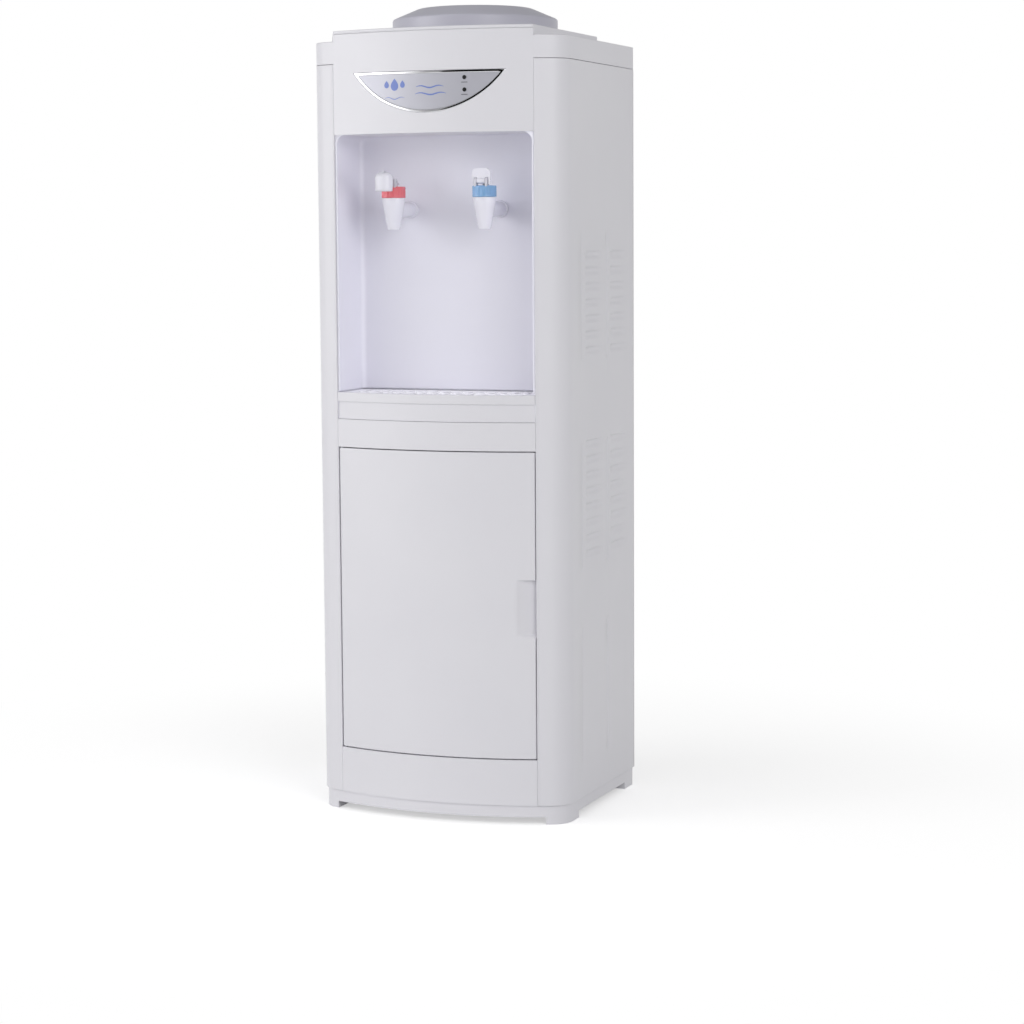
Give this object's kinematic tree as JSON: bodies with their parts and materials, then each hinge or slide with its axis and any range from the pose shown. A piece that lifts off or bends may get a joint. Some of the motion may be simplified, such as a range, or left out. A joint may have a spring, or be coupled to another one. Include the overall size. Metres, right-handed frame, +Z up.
{
  "type": "top load water cooler",
  "caption": "Floor-standing top-load water cooler with hot and cold taps over a drip tray, a bottle seat under a dust cap, and a storage cupboard.",
  "frame": {"origin": "on the floor under the middle of the body's bounding box", "axes": "+Z up, -Y towards the front with the taps and the door, +X towards the door's handle side"},
  "size_m": [0.3, 0.26, 0.9],
  "materials": {
    "white_abs": "satin white",
    "lining": "satin cool white",
    "cap_plastic": "smooth, faintly blue white",
    "tap_white": "gloss white",
    "chrome": "mirror plated",
    "silver_foil": "satin silver",
    "hot_red": "gloss red",
    "cold_blue": "gloss blue",
    "dark_lens": "unlit indicator lens",
    "steel": "brushed",
    "zinc_sheet": "zinc plated sheet",
    "aluminium": "extruded",
    "rubber": "matte black",
    "silicone": "milky hose",
    "foam": "cut foam",
    "black_plastic": "moulded black",
    "circuit_board": "coated board"
  },
  "bodies": {
    "housing": {"base_plinth": "white_abs", "right_side_panel": "white_abs", "left_side_panel": "white_abs", "top_cover": "white_abs", "bottle_seat": "white_abs", "bottle_probe": "cold_blue", "front_header": "white_abs", "display_bezel": "chrome", "display_plate": "silver_foil", "led_heating": "dark_lens", "led_cooling": "dark_lens", "control_board": "circuit_board", "niche_liner": "lining", "lower_front_frame": "white_abs", "door_pin_lower": "steel", "door_pin_upper": "steel", "door_magnet": "black_plastic", "cabinet_liner": "lining", "hot_tap_body": "tap_white", "hot_tap_bonnet": "hot_red", "hot_tap_pin": "steel", "hot_tap_nut": "tap_white", "cold_tap_body": "tap_white", "cold_tap_bonnet": "cold_blue", "cold_tap_pin": "steel", "cold_tap_nut": "tap_white", "tank_frame": "zinc_sheet", "cold_tank": "steel", "cold_tank_foam": "foam", "cold_block": "aluminium", "peltier_module": "tap_white", "heat_sink": "aluminium", "fan_frame": "black_plastic", "hot_tank": "steel", "heater_band": "aluminium", "hot_feed_hose": "silicone", "hot_hose": "silicone", "cold_hose": "silicone", "rear_panel": "white_abs", "drain_hose": "silicone", "cord_gland": "rubber", "switch_frame": "black_plastic", "power_board": "circuit_board"},
    "door": {"door": "white_abs", "door_inner_panel": "lining", "door_strike": "steel"},
    "drip_tray": {"drip_tray": "white_abs"},
    "drip_grille": {"drip_grille": "white_abs"},
    "dust_cap": {"dust_cap": "cap_plastic"},
    "hot_lever": {"hot_tap_lever": "tap_white"},
    "hot_lock": {"hot_tap_lock": "tap_white"},
    "hot_stem": {"hot_tap_stem": "silicone"},
    "cold_lever": {"cold_tap_lever": "tap_white"},
    "cold_stem": {"cold_tap_stem": "silicone"},
    "fan_rotor": {"fan_rotor": "black_plastic"},
    "heat_switch": {"heat_switch": "hot_red"},
    "cool_switch": {"cool_switch": "cold_blue"},
    "drain_cap": {"drain_cap": "white_abs"}
  },
  "joints": [
    {"name": "door_hinge", "type": "hinge", "parent": "housing", "child": "door", "pos_m": [-0.1138, -0.10912, 0.2425], "axis": [0, 0, -1], "range_deg": [0, 85]},
    {"name": "drip_tray_slide", "type": "slide", "parent": "housing", "child": "drip_tray", "axis": [0, -1, 0], "range_m": [0, 0.1]},
    {"name": "drip_grille_lift", "type": "slide", "parent": "drip_tray", "child": "drip_grille", "axis": [0, 0, 1], "range_m": [0, 0.03]},
    {"name": "dust_cap_lift", "type": "slide", "parent": "housing", "child": "dust_cap", "axis": [0, 0, 1], "range_m": [0, 0.06]},
    {"name": "hot_lever_hinge", "type": "hinge", "parent": "housing", "child": "hot_lever", "pos_m": [-0.054, -0.1035, 0.705], "axis": [1, 0, 0], "range_deg": [0, 20], "stiffness_Nm_per_rad": 0.04, "springref_deg": -8.59},
    {"name": "hot_stem_lift", "type": "slide", "parent": "housing", "child": "hot_stem", "axis": [0, 0, 1], "range_m": [0, 0.00436]},
    {"name": "hot_lock_slide", "type": "slide", "parent": "hot_lever", "child": "hot_lock", "axis": [0, 1, 0], "range_m": [0, 0.0025], "stiffness_N_per_m": 50, "springref_m": -0.002},
    {"name": "cold_lever_hinge", "type": "hinge", "parent": "housing", "child": "cold_lever", "pos_m": [0.054, -0.1035, 0.705], "axis": [1, 0, 0], "range_deg": [0, 20], "stiffness_Nm_per_rad": 0.04, "springref_deg": -8.59},
    {"name": "cold_stem_lift", "type": "slide", "parent": "housing", "child": "cold_stem", "axis": [0, 0, 1], "range_m": [0, 0.00436]},
    {"name": "fan_spin", "type": "hinge", "parent": "housing", "child": "fan_rotor", "pos_m": [0, 0.104, 0.72], "axis": [0, 1, 0], "continuous": true},
    {"name": "heat_switch_rock", "type": "hinge", "parent": "housing", "child": "heat_switch", "pos_m": [-0.1035, 0.1203, 0.533], "axis": [-1, 0, 0], "range_deg": [0, 16]},
    {"name": "cool_switch_rock", "type": "hinge", "parent": "housing", "child": "cool_switch", "pos_m": [-0.0865, 0.1203, 0.533], "axis": [-1, 0, 0], "range_deg": [0, 16]},
    {"name": "drain_cap_pull", "type": "slide", "parent": "housing", "child": "drain_cap", "axis": [0, 1, 0], "range_m": [0, 0.015]}
  ],
  "couplings": [
    {"joint": "hot_lever_hinge", "follows": "hot_stem_lift", "rad_per_m": 80},
    {"joint": "cold_lever_hinge", "follows": "cold_stem_lift", "rad_per_m": 80}
  ]
}
